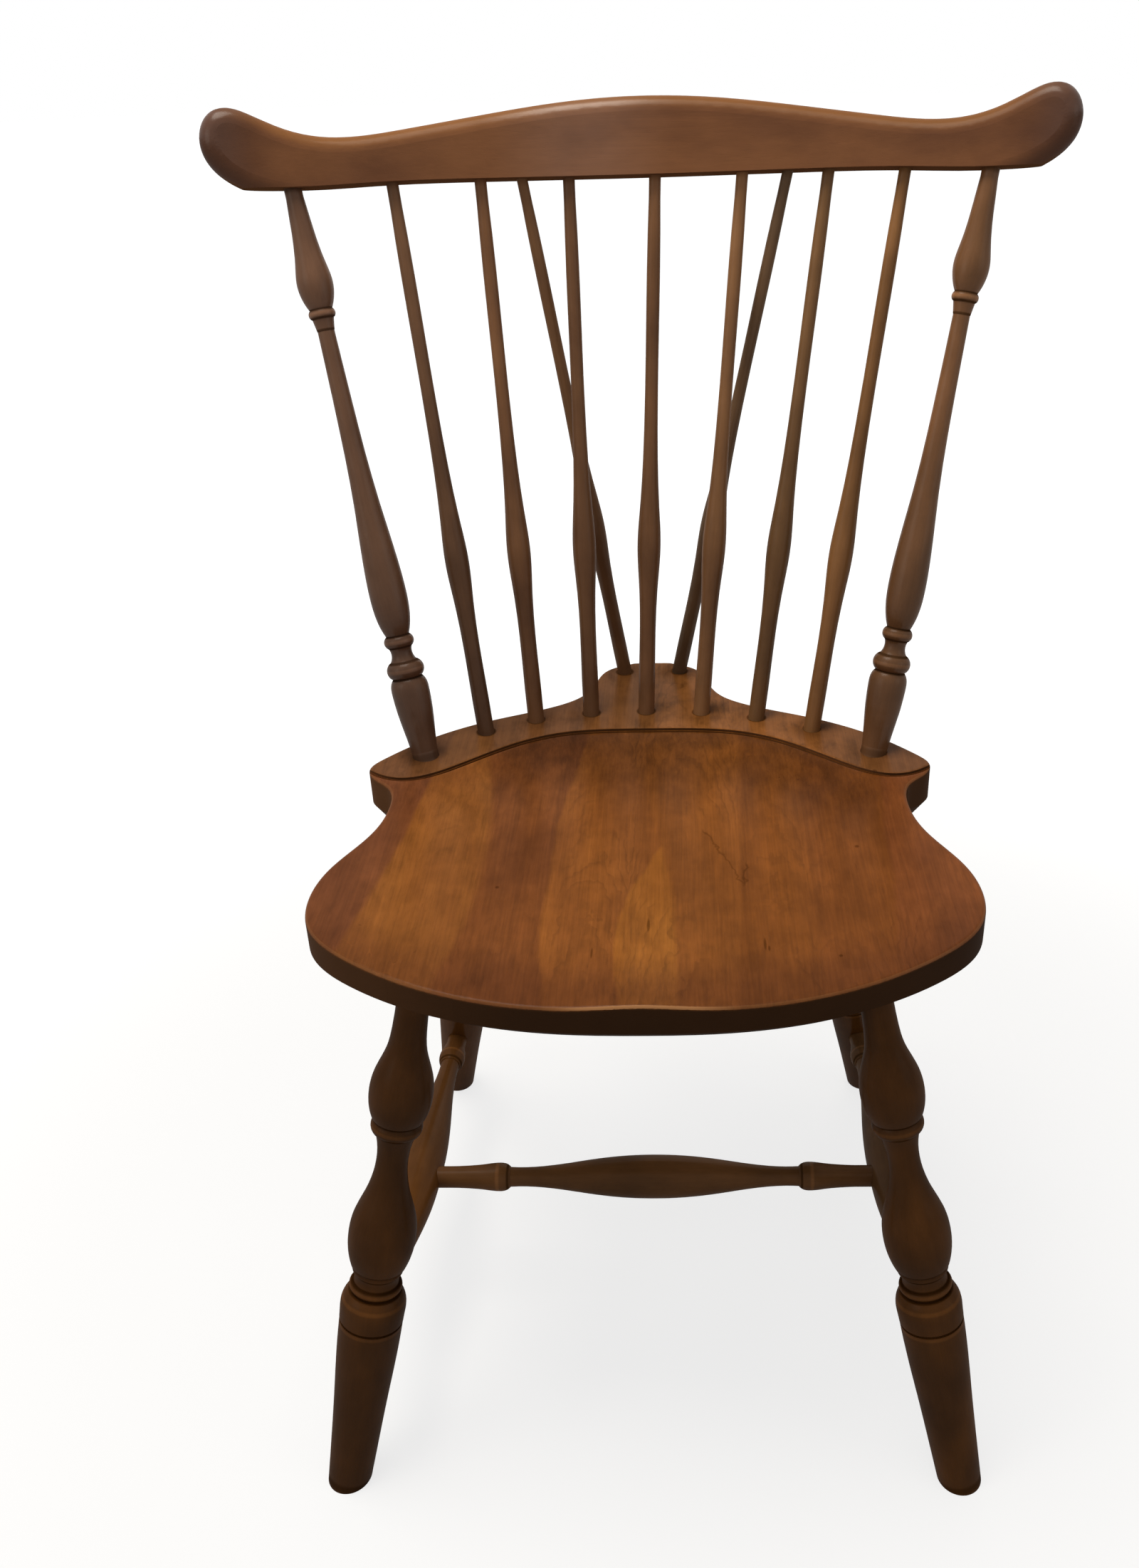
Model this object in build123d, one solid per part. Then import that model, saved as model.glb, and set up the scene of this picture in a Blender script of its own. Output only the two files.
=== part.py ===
from build123d import *
from math import cos, exp, pi, sqrt
import os

# Braced fan-back windsor side chair, millimetres, +Z up, +X to the right as seen from the front.
# While the chair is laid out, y = 0 is the middle of the seat's front edge and y grows towards the back.

# Seat
deck_height = 441
seat_thickness = 38
seat_width = 473
seat_depth = 485
edge_bevel_height = 9
edge_bevel_set_back = 9
seat_rim_round = 3
board_joint_shares = [-0.708, -0.512, -0.262, -0.051, 0.288, 0.491, 0.708]

# Saddle
saddle_depth = 14
saddle_side_depth = 5
saddle_run = 95
saddle_ease_power = 3
saddle_start_depth = 0.6
front_lift_depth = 4.5
front_lift_run = 170
pommel_height = 4.5
pommel_reach = 42
pommel_run = 140

# Scribed line behind the saddle: where it crosses the middle and where it ends beside the posts
scribe_back_share = 0.732
scribe_front_share = 0.569
scribe_turn_share = 0.829
scribe_power = 1.79
scribe_width = 2.4
scribe_depth = 2.2

# Crest rail
crest_width = 639
crest_height = 57
crest_thickness = 25
crest_radius = 790
crest_tilt = 14
crest_turn = 0.6
crest_rise = 420.3
crest_set_back_share = 0.9765
crest_front_round = 12
crest_back_round = 7
crest_lower_round = 1.6

# Turned pieces: largest diameters
post_girth = 30.3
spindle_girth = 19.3
brace_girth = 17.5
front_leg_girth = 48.4
rear_leg_girth = 46.5
side_stretcher_girth = 40
centre_stretcher_girth = 35.8

# Stretchers
stretcher_front_height = 113
stretcher_rear_height = 95
centre_stretcher_share = 0.46

# Round tenons in bored sockets
back_tenon = 22
brace_tenon = 16
leg_tenon = 20
stretcher_tenon = 3
tenon_clearance = 0.15
socket_end_gap = 1
cut_overrun = 12
region_overlap = 0.6

# Fineness of the curved surfaces and of the tests on edges and faces
scribe_steps = 28
dish_columns = 20
dish_rows = 14
dish_row_power = 1.5
dish_tolerance = 0.06
same_place = 1e-6
upright_slope = 0.01
downward_slope = -0.9
round_retry_shares = (1, 0.85, 0.7, 0.4)

# Places on the seat and on the floor: shares of half the seat's width and of its depth
post_seat_share = (0.773, 0.6456)
brace_seat_share = (0.104, 0.959)
front_leg_seat_share = (0.654, 0.132)
front_leg_floor_share = (0.978, -0.046)
rear_leg_seat_share = (0.605, 0.608)
rear_leg_floor_share = (0.879, 0.855)

# The seven spindles from left to right: their places on the seat, as above, and along the crest,
# as shares of half its width. The posts' and the brace spindles' places along it follow.
spindle_seat_shares = [
    (-0.583, 0.727),
    (-0.412, 0.77),
    (-0.215, 0.793),
    (-0.015, 0.799),
    (0.185, 0.793),
    (0.382, 0.77),
    (0.574, 0.727),
]
spindle_crest_shares = [-0.591, -0.386, -0.175, 0.033, 0.243, 0.447, 0.623]
post_crest_shares = [-0.813, 0.812]
brace_crest_shares = [-0.287, 0.351]

# Seat outline, right half, from the front middle to the back middle:
# shares of half the width and of the depth
seat_outline_shares = [
    (0, 0),
    (0.262, 0.005),
    (0.53, 0.031),
    (0.82, 0.1),
    (0.966, 0.172),
    (1.0, 0.246),
    (0.974, 0.325),
    (0.897, 0.412),
    (0.853, 0.498),
    (0.866, 0.546),
    (0.928, 0.576),
    (0.953, 0.604),
    (0.917, 0.638),
    (0.780, 0.708),
    (0.560, 0.777),
    (0.360, 0.823),
    (0.262, 0.862),
    (0.207, 0.930),
    (0.163, 0.974),
    (0.085, 0.996),
    (0, 1),
]

# Crest outline, right half: the top from the middle round the ear, the rough lower edge that the
# round-over is run along, and the finished lower edge, which is cut from the rough one afterwards.
# Shares of half the width and of the height at the middle
crest_top_shares = [
    (0, 1),
    (0.188, 0.944),
    (0.376, 0.796),
    (0.563, 0.616),
    (0.673, 0.526),
    (0.745, 0.520),
    (0.820, 0.602),
    (0.888, 0.758),
    (0.936, 0.835),
    (0.974, 0.775),
    (1.0, 0.510),
]
crest_rough_shares = [
    (0.988, 0.170),
    (0.947, -0.060),
    (0.885, -0.215),
    (0.8, -0.31),
    (0.66, -0.35),
    (0.4, -0.36),
    (0, -0.36),
]
crest_lower_shares = [
    (1.1, -0.13),
    (0.885, -0.130),
    (0.767, -0.112),
    (0.626, -0.056),
    (0.376, -0.010),
    (0, 0),
]

# Turned outlines, as runs of (share of the length, share of the largest diameter):
# two places make a straight run, three an arc and more a curve
leg_run_shares = [
    [(0, 0.47), (0.03, 0.47)],
    [(0.03, 0.47), (0.085, 0.5), (0.119, 0.577), (0.168, 0.853), (0.211, 0.918), (0.25, 0.745)],
    [(0.251, 0.66), (0.2635, 0.758), (0.276, 0.66)],
    [(0.276, 0.61), (0.3145, 0.471), (0.3525, 0.488), (0.398, 0.668), (0.4465, 0.943), (0.4765, 1), (0.539, 0.82)],
    [(0.541, 0.71), (0.547, 0.765), (0.553, 0.71)],
    [(0.554, 0.685), (0.5645, 0.66), (0.574, 0.69)],
    [(0.574, 0.7), (0.5815, 0.795), (0.5885, 0.71)],
    [(0.5885, 0.68), (0.5925, 0.68)],
    [(0.5925, 0.8), (0.6, 0.9), (0.612, 0.972), (0.6287, 0.985), (0.6496, 0.966)],
    [(0.6496, 0.91), (0.6545, 0.91)],
    [(0.6545, 0.958), (0.7008, 0.938), (0.828, 0.815), (0.923, 0.732), (1.062, 0.62)],
]
post_run_shares = [
    [(0, 0.696), (0.01, 0.696)],
    [(0.01, 0.696), (0.047, 0.818), (0.088, 0.954), (0.119, 1), (0.142, 0.92), (0.149, 0.78)],
    [(0.149, 0.76), (0.164, 0.99), (0.179, 0.76)],
    [(0.179, 0.72), (0.195, 0.551), (0.206, 0.62)],
    [(0.206, 0.64), (0.217, 0.792), (0.227, 0.64)],
    [(0.227, 0.604), (0.252, 0.84), (0.301, 0.972), (0.353, 0.924), (0.481, 0.64), (0.62, 0.49), (0.766, 0.425)],
    [(0.766, 0.44), (0.787, 0.548)],
    [(0.787, 0.59), (0.794, 0.675), (0.801, 0.59)],
    [(0.801, 0.561), (0.82, 0.79), (0.847, 0.894), (0.87, 0.8), (0.895, 0.67), (0.942, 0.53), (0.985, 0.435)],
    [(0.985, 0.435), (1, 0.435)],
]
spindle_run_shares = [
    [(0, 0.71), (0.012, 0.71)],
    [(0.012, 0.71), (0.15, 0.7), (0.209, 0.731), (0.264, 0.845), (0.32, 0.99), (0.348, 0.99),
     (0.403, 0.845), (0.457, 0.705), (0.53, 0.6), (0.693, 0.539), (0.96, 0.477)],
    [(0.96, 0.477), (1, 0.477)],
]
# Stretchers: from the middle of the swell to the axis of the piece that holds the end
side_stretcher_run_shares = [
    [(0, 1), (0.15, 0.965), (0.32, 0.8), (0.48, 0.58), (0.6, 0.455), (0.71, 0.43)],
    [(0.71, 0.46), (0.735, 0.57), (0.76, 0.6), (0.8, 0.55), (0.86, 0.455)],
    [(0.86, 0.455), (1, 0.455)],
]
centre_stretcher_run_shares = [
    [(0, 1), (0.13, 0.95), (0.27, 0.78), (0.4, 0.57), (0.5, 0.46), (0.605, 0.455)],
    [(0.605, 0.47), (0.625, 0.62), (0.65, 0.656), (0.71, 0.59), (0.8, 0.51), (0.86, 0.495)],
    [(0.86, 0.495), (1, 0.495)],
]

seat_half_width = seat_width / 2
crest_half_width = crest_width / 2
seat_bottom = deck_height - seat_thickness
crest_frame = (
    Pos(0, seat_depth * crest_set_back_share, deck_height + crest_rise)
    * Rot(-crest_tilt, 0, 0)
    * Rot(0, -crest_turn, 0)
)


def scribe_y(x):
    """Where the scribed line crosses the deck at x: level in the middle, forward beside the posts."""
    middle = seat_depth * (scribe_back_share + scribe_front_share) / 2
    sway = seat_depth * (scribe_back_share - scribe_front_share) / 2
    return middle + sway * cos(pi * (abs(x) / (seat_half_width * scribe_turn_share)) ** scribe_power)


def scribe_line(shift):
    """The scribed line as a curve from side to side, moved back by shift."""
    reach = seat_half_width + cut_overrun
    places = [reach * (2 * step / scribe_steps - 1) for step in range(scribe_steps + 1)]
    return Spline([(x, scribe_y(x) + shift) for x in places])


def behind_scribe(shift):
    """The space behind the scribed line moved back by shift, taller than the seat."""
    line = scribe_line(shift)
    reach = seat_half_width + cut_overrun
    behind = seat_depth + cut_overrun
    rest = Polyline(line @ 1, (reach, behind), (-reach, behind), line @ 0)
    tall = seat_thickness + 2 * cut_overrun
    return Pos(0, 0, seat_bottom - cut_overrun) * extrude(make_face([line, *rest.edges()]), amount=tall)


def dish_depth(x, y):
    """Depth of the saddle under the deck, with its lift at the front edge and the pommel between the thighs."""
    across = saddle_depth - (saddle_depth - saddle_side_depth) * (x / seat_half_width) ** 2
    front_lift = front_lift_depth * max(0, 1 - max(0, y) / front_lift_run) ** 2
    pommel = pommel_height * exp(-((x / pommel_reach) ** 2)) * max(0, 1 - max(0, y) / pommel_run) ** 2
    run = min(1, (scribe_y(x) - y) / saddle_run)
    return saddle_start_depth + (across - front_lift - pommel) * (1 - (1 - run) ** saddle_ease_power)


def saddle_cutter():
    """The waste over the dish: its curved face, drawn up past the deck."""
    reach = seat_half_width + cut_overrun
    grid = []
    for column in range(dish_columns + 1):
        x = reach * (2 * column / dish_columns - 1)
        back = scribe_y(x) + scribe_width
        line = []
        for row in range(dish_rows + 1):
            y = back - (back + cut_overrun) * (row / dish_rows) ** dish_row_power
            line.append(Vector(x, y, deck_height - dish_depth(x, y)))
        grid.append(line)
    dish = Face.make_surface_from_array_of_points(grid, tol=dish_tolerance, max_deg=3)
    return extrude(dish, amount=saddle_depth + cut_overrun, dir=(0, 0, 1))


def softened(solid, edges, radius):
    """The solid with its edges rounded over, or a little less where the radius doesn't fit."""
    for share in round_retry_shares:
        try:
            rounded = fillet(edges, radius * share)
            if rounded.is_valid and rounded.volume > 0:
                return rounded
        except Exception:
            continue
    return solid


def seat_section(height, set_back):
    """The seat outline at a height, drawn in by the set-back."""
    wide = seat_half_width - set_back
    deep = seat_depth / 2 - set_back
    right = [(x * wide, seat_depth / 2 + (2 * y - 1) * deep) for x, y in seat_outline_shares]
    half = Spline(right, tangents=[(1, 0), (-1, 0)])
    return Pos(0, 0, height) * make_face([half, mirror(half, Plane.YZ)])


def rim_edges(solid):
    """The edges where the top of the seat meets its side."""
    sides = [face for face in solid.faces() if abs(face.normal_at().Z) < upright_slope]
    rim = []
    for face in ShapeList(sides).sort_by(SortBy.AREA)[-3:]:
        for edge in face.edges():
            level = edge.bounding_box()
            level_enough = level.size.Z < seat_thickness / 2 and level.size.X + level.size.Y > seat_rim_round
            if level_enough and level.min.Z > deck_height - seat_thickness / 2:
                rim.append(edge)
    return rim


def seat_blank():
    """The glued-up seat before boring: bevelled below, saddled in front of the scribed line, flat behind it."""
    sections = [
        seat_section(seat_bottom, edge_bevel_set_back),
        seat_section(seat_bottom + edge_bevel_height, 0),
        seat_section(deck_height, 0),
    ]
    blank = loft(sections, ruled=True)
    deck = blank & behind_scribe(-region_overlap)
    saddle = (blank - behind_scribe(0)) - saddle_cutter()
    deck = softened(deck, rim_edges(deck), seat_rim_round)
    saddle = softened(saddle, rim_edges(saddle), seat_rim_round)
    front_wall = scribe_line(-scribe_width / 2)
    back_wall = scribe_line(scribe_width / 2)
    ends = [Line(front_wall @ 0, back_wall @ 0), Line(front_wall @ 1, back_wall @ 1)]
    scribe = extrude(make_face([front_wall, back_wall, *ends]), amount=scribe_depth + cut_overrun)
    return deck.fuse(saddle).cut(Pos(0, 0, deck_height - scribe_depth) * scribe)


def crest_place(x, height):
    """A point in the middle of the crest's thickness, at x and at a height up its tilted face."""
    sag = crest_radius - sqrt(crest_radius**2 - x**2)
    return (crest_frame * Pos(x, -sag, height)).position


def on_crest(shares):
    """Places on the crest's face from shares of half its width and of its height."""
    return [(crest_half_width * across, crest_height * up) for across, up in shares]


def crest_underside(x):
    """Height of the crest's lower edge at x."""
    edge = on_crest(reversed(crest_lower_shares))
    for (x0, h0), (x1, h1) in zip(edge, edge[1:]):
        if x0 <= abs(x) <= x1:
            return h0 + (h1 - h0) * (abs(x) - x0) / (x1 - x0)
    return edge[-1][1]


def through_crest(face):
    """A face in the plane of the crest's middle, carried right through it from back to front."""
    reach = crest_half_width + cut_overrun
    return extrude(Pos(0, reach, 0) * face, amount=2 * reach, dir=(0, -1, 0))


def crest_blank():
    """The bent crest board: a curved band cut to a rough outline, rounded over, then cut along its lower edge."""
    half = Plane.XZ * Spline(on_crest(crest_top_shares + crest_rough_shares), tangents=[(1, 0), (-1, 0)])
    plate = through_crest(make_face([half, mirror(half, Plane.YZ)]))
    drop = Pos(0, -crest_radius, -crest_height)
    tall = crest_height * 3
    outer = Cylinder(crest_radius + crest_thickness / 2, tall, align=(Align.CENTER, Align.CENTER, Align.MIN))
    inner = Cylinder(crest_radius - crest_thickness / 2, tall, align=(Align.CENTER, Align.CENTER, Align.MIN))
    board = (drop * (outer - inner)) & plate
    front = board.faces().filter_by(GeomType.CYLINDER).sort_by(SortBy.RADIUS)[0]
    board = softened(board, front.edges(), crest_front_round)
    back = board.faces().filter_by(GeomType.CYLINDER).sort_by(SortBy.AREA)[-1]
    board = softened(board, back.edges(), crest_back_round)

    lower = Plane.XZ * Spline(on_crest(crest_lower_shares), tangents=[(-1, 0), (-1, 0)])
    end_x, end_height = on_crest(crest_lower_shares)[0]
    deep = -crest_height
    rest = Plane.XZ * Polyline((-end_x, end_height), (-end_x, deep), (end_x, deep), (end_x, end_height))
    board -= through_crest(make_face([lower, mirror(lower, Plane.YZ), *rest.edges()]))
    under = [face for face in board.faces() if face.normal_at().Z < downward_slope]
    arrises = [edge for face in under for edge in face.edges() if edge.length > 2 * crest_thickness]
    board = softened(board, arrises, crest_lower_round)
    return crest_frame * board


def scaled_runs(run_shares, length, girth):
    """Runs of (radius, place along the axis) from shares of the length and of the largest diameter."""
    return [[(girth / 2 * wide, length * along) for along, wide in run] for run in run_shares]


def both_ways(run_shares, front_length, rear_length, girth):
    """A stretcher's runs from its front end through the swell to its rear end."""
    rear = [[(r, front_length + s) for r, s in run] for run in scaled_runs(run_shares, rear_length, girth)]
    front = scaled_runs(run_shares, front_length, girth)
    front = [[(r, front_length - s) for r, s in reversed(run)] for run in reversed(front)]
    middle = front[-1] + rear[0][1:]
    return front[:-1] + [middle] + rear[1:]


def turned(runs, foot_tenon, head_tenon):
    """A piece turned about +Z from its runs, with a plain tenon at each end."""
    foot_radius, foot = runs[0][0]
    head_radius, head = runs[-1][-1]
    stem = [(0, foot - foot_tenon), (foot_radius, foot - foot_tenon), runs[0][0]]
    tip = [runs[-1][-1], (head_radius, head + head_tenon), (0, head + head_tenon)]
    edges = []
    last = None
    for run in [stem[:2], stem[1:], *runs, tip[:2], tip[1:], [tip[2], stem[0]]]:
        places = [Vector(radius, 0, along) for radius, along in run]
        if places[0] == places[-1]:
            continue
        if last is not None and (last - places[0]).length > same_place:
            edges.append(Line(last, places[0]))
        if len(places) == 2:
            edges.append(Line(*places))
        elif len(places) == 3:
            edges.append(ThreePointArc(*places))
        else:
            edges.append(Spline(places))
        last = places[-1]
    return revolve(make_face(edges), Axis.Z)


def placed(piece, start, end):
    """The piece stood on its start point with its axis towards the end point."""
    return Plane(origin=start, z_dir=end - start) * piece


def bore(mouth, inward, radius, depth, outside):
    """The waste of a socket: from outside its mouth to just past the tenon's end."""
    way = inward.normalized()
    length = outside + depth + socket_end_gap
    drill = Cylinder(radius + tenon_clearance, length, align=(Align.CENTER, Align.CENTER, Align.MIN))
    return Plane(origin=mouth - way * outside, z_dir=way) * drill


def seat_place(side, place_share, height):
    """A point from shares of the seat's half width and depth, mirrored to the left where the side is -1."""
    return Vector(side * seat_half_width * place_share[0], seat_depth * place_share[1], height)


pieces = {}
seat_bores = []
crest_bores = []


def add_upright(name, run_shares, girth, start, crest_share, crest_tenon):
    """A post or spindle from the deck to the crest, and its two sockets."""
    crest_x = crest_half_width * crest_share
    end = crest_place(crest_x, crest_underside(crest_x))
    runs = scaled_runs(run_shares, (end - start).length, girth)
    pieces[name] = placed(turned(runs, back_tenon, crest_tenon), start, end)
    seat_bores.append(bore(start, start - end, runs[0][0][0], back_tenon, cut_overrun))
    crest_bores.append(bore(end, end - start, runs[-1][-1][0], crest_tenon, cut_overrun))


sides = [(-1, "left"), (1, "right")]
for (side, name), post_share, brace_share in zip(sides, post_crest_shares, brace_crest_shares):
    start = seat_place(side, post_seat_share, deck_height)
    add_upright(f"back_post_{name}", post_run_shares, post_girth, start, post_share, back_tenon)
    start = seat_place(side, brace_seat_share, deck_height)
    add_upright(f"brace_spindle_{name}", spindle_run_shares, brace_girth, start, brace_share, brace_tenon)

right_side = 1
for number, (place, crest_share) in enumerate(zip(spindle_seat_shares, spindle_crest_shares), start=1):
    start = seat_place(right_side, place, deck_height)
    add_upright(f"back_spindle_{number}", spindle_run_shares, spindle_girth, start, crest_share, back_tenon)


def leg_point(axis, height):
    """The point of a leg's axis at a height."""
    top, foot = axis
    return foot + (top - foot) * (height / top.Z)


def leg(axis, girth):
    """A turned leg, cut level at the floor."""
    top, foot = axis
    whole = placed(turned(scaled_runs(leg_run_shares, (foot - top).length, girth), leg_tenon, 0), top, foot)
    radius = girth / 2 * leg_run_shares[0][0][1]
    seat_bores.append(bore(top, top - foot, radius, leg_tenon, cut_overrun))
    return split(whole, Plane.XY, keep=Keep.TOP)


joints = []
for side, name in sides:
    front_axis = seat_place(side, front_leg_seat_share, seat_bottom), seat_place(side, front_leg_floor_share, 0)
    rear_axis = seat_place(side, rear_leg_seat_share, seat_bottom), seat_place(side, rear_leg_floor_share, 0)
    front = leg_point(front_axis, stretcher_front_height)
    rear = leg_point(rear_axis, stretcher_rear_height)
    way = (rear - front).normalized()
    length = (rear - front).length
    front_length = length * centre_stretcher_share
    joints.append(front + way * front_length)
    runs = both_ways(side_stretcher_run_shares, front_length, length - front_length, side_stretcher_girth)
    end_radius = runs[0][0][0]
    pieces[f"side_stretcher_{name}"] = placed(turned(runs, stretcher_tenon, stretcher_tenon), front, rear)
    front_bore = bore(front, -way, end_radius, stretcher_tenon, front_leg_girth)
    rear_bore = bore(rear, way, end_radius, stretcher_tenon, rear_leg_girth)
    pieces[f"front_leg_{name}"] = leg(front_axis, front_leg_girth) - front_bore
    pieces[f"rear_leg_{name}"] = leg(rear_axis, rear_leg_girth) - rear_bore

left_joint, right_joint = joints
half_length = (right_joint - left_joint).length / 2
runs = both_ways(centre_stretcher_run_shares, half_length, half_length, centre_stretcher_girth)
pieces["centre_stretcher"] = placed(turned(runs, stretcher_tenon, stretcher_tenon), left_joint, right_joint)
for joint, (side, name) in zip(joints, sides):
    socket = bore(joint, Vector(side, 0, 0), runs[0][0][0], stretcher_tenon, side_stretcher_girth)
    pieces[f"side_stretcher_{name}"] -= socket

pieces["crest_rail"] = crest_blank() - crest_bores

seat = seat_blank().cut(*seat_bores)
for number, share in enumerate(board_joint_shares, start=1):
    glue_joint = Plane.YZ.offset(share * seat_half_width)
    pieces[f"seat_board_{number}"] = split(seat, glue_joint, keep=Keep.BOTTOM)
    seat = split(seat, glue_joint, keep=Keep.TOP)
pieces[f"seat_board_{len(board_joint_shares) + 1}"] = seat

# The whole chair moves so that the middle of its footprint stands on the origin
extent = Compound(children=[Part() + piece for piece in pieces.values()]).bounding_box()
to_origin = Pos(-(extent.min.X + extent.max.X) / 2, -(extent.min.Y + extent.max.Y) / 2, 0)

os.makedirs("parts", exist_ok=True)
for name, piece in pieces.items():
    export_step(to_origin * piece, f"parts/{name}.step")
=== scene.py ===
# %% [markdown]
# A braced fan-back windsor side chair in brown-stained hardwood under an old satin lacquer. The solid pieces come
# from the imported frame, each where the maker glued it, and their shapes are right as they are. What this file adds
# is the wood: which way the grain of each piece runs, how each board took its stain, where the lathe's grooves hold
# dirt and painted shade, where the rim is worn pale under a painted highlight, the painted light and shade on the
# back's turnings, the crest and the seat, and the soft light of a room.

# %% Load the chair
import math

import bpy
import numpy as np
from mathutils import Matrix, Vector


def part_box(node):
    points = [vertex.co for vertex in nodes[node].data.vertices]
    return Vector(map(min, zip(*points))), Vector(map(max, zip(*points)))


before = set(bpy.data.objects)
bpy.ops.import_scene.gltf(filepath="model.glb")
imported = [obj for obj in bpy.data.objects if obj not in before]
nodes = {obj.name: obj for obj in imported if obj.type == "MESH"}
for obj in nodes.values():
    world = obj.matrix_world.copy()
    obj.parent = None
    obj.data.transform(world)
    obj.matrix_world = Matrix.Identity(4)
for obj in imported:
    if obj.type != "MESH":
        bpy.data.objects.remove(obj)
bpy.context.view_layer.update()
mm = 0.001
print("pieces in the frame:", len(nodes))

# %% [markdown]
# The seat is the piece that everything else is measured from. Its front edge, its deck, its width and its depth are
# read from the boards' own boxes, so nothing moves out of step if the chair is packed again a little larger.

# %% Measure the seat
seat_boards = sorted(name for name in nodes if name.startswith("seat_board"))
seat_low = [min(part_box(name)[0][i] for name in seat_boards) for i in range(3)]
seat_high = [max(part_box(name)[1][i] for name in seat_boards) for i in range(3)]
seat_middle_x = (seat_low[0] + seat_high[0]) / 2
seat_half_width = (seat_high[0] - seat_low[0]) / 2
seat_front_y = seat_low[1]
seat_depth = seat_high[1] - seat_low[1]
deck_z = seat_high[2]
print("seat, mm:", round(seat_half_width * 2 / mm), "wide and", round(seat_depth / mm), "deep")
print("deck above the floor, mm:", round(deck_z / mm))

# %% [markdown]
# The picture looks down at the chair from the front, from standing height, so the legs shrink and the seat opens
# out. The camera's place was worked out from the outline of the seat, the legs and the spindles. It is held here as
# a point measured from the middle of the seat's front edge at floor level, and three turns.

# %% Stand the camera where the picture was taken
picture_width = 1600
picture_height = 2203
focal_pixels = 2000.4
aim_pixel_x = 917.4
aim_pixel_y = 1051.0
sensor_side = 36.0
camera_from_seat_front = Vector((30.2, -700.4, 1008.3)) * mm
camera_yaw = -0.0264
camera_pitch = 0.5066
camera_roll = -0.0224


def camera_axes(yaw, pitch, roll):
    """The camera's right, up and forward directions after the three turns."""
    level = Vector((math.sin(yaw), math.cos(yaw), 0))
    right = Vector((math.cos(yaw), -math.sin(yaw), 0))
    up = Vector((0, 0, 1))
    forward = level * math.cos(pitch) - up * math.sin(pitch)
    over = up * math.cos(pitch) + level * math.sin(pitch)
    return (
        right * math.cos(roll) + over * math.sin(roll),
        over * math.cos(roll) - right * math.sin(roll),
        forward,
    )


lens = bpy.data.cameras.new("picture_camera")
lens.sensor_width = sensor_side
lens.lens = focal_pixels / picture_height * sensor_side
lens.shift_x = (picture_width / 2 - aim_pixel_x) / picture_height
lens.shift_y = (aim_pixel_y - picture_height / 2) / picture_height
camera = bpy.data.objects.new("picture_camera", lens)
bpy.context.scene.collection.objects.link(camera)
right, over, forward = camera_axes(camera_yaw, camera_pitch, camera_roll)
camera.matrix_world = (
    Matrix.Translation(camera_from_seat_front + Vector((seat_middle_x, seat_front_y, 0)))
    @ Matrix((right, over, -forward)).transposed().to_4x4()
)
bpy.context.scene.camera = camera
print("camera lens, mm:", round(lens.lens, 2))

# %% [markdown]
# The room is a plain studio. One broad lamp hangs over the chair, because the deck, the top of the crest and the
# shoulders of the turnings are its light places, while the seat's front edge and the legs stay dark. A weak lamp on
# the left gives the turnings one lighter side, a weaker one on the right keeps the other side open, and one low
# behind the chair shows its back.

# %% Light the studio
scene = bpy.context.scene
scene.view_settings.view_transform = "Standard"
chair_middle = Vector((0, 0, 0.5))
warm_white = (1.0, 0.94, 0.84)


def area_lamp(name, place, size, power):
    """A square soft lamp at a place, facing the middle of the chair."""
    data = bpy.data.lights.new(name, "AREA")
    data.shape = "SQUARE"
    data.size = size
    data.energy = power
    data.color = warm_white
    lamp = bpy.data.objects.new(name, data)
    lamp.location = place
    lamp.rotation_euler = (chair_middle - Vector(place)).to_track_quat("-Z", "Y").to_euler()
    scene.collection.objects.link(lamp)


area_lamp("overhead_lamp", (-0.5, 0.1, 2.7), size=1.3, power=35)
area_lamp("front_left_lamp", (-2.2, -1.4, 1.7), size=1.4, power=8)
area_lamp("front_right_lamp", (2.2, -1.0, 1.3), size=1.4, power=4)
area_lamp("back_lamp", (0.5, 2.5, 1.1), size=1.6, power=6)

# %% [markdown]
# The materials below are written as formulas. A wire stands for the output of a node, and arithmetic on wires adds
# Math nodes, so a mask can be read as it would be written on paper. Every other node comes from one method, which
# takes the node's type, its settings and what its sockets hold.


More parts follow.
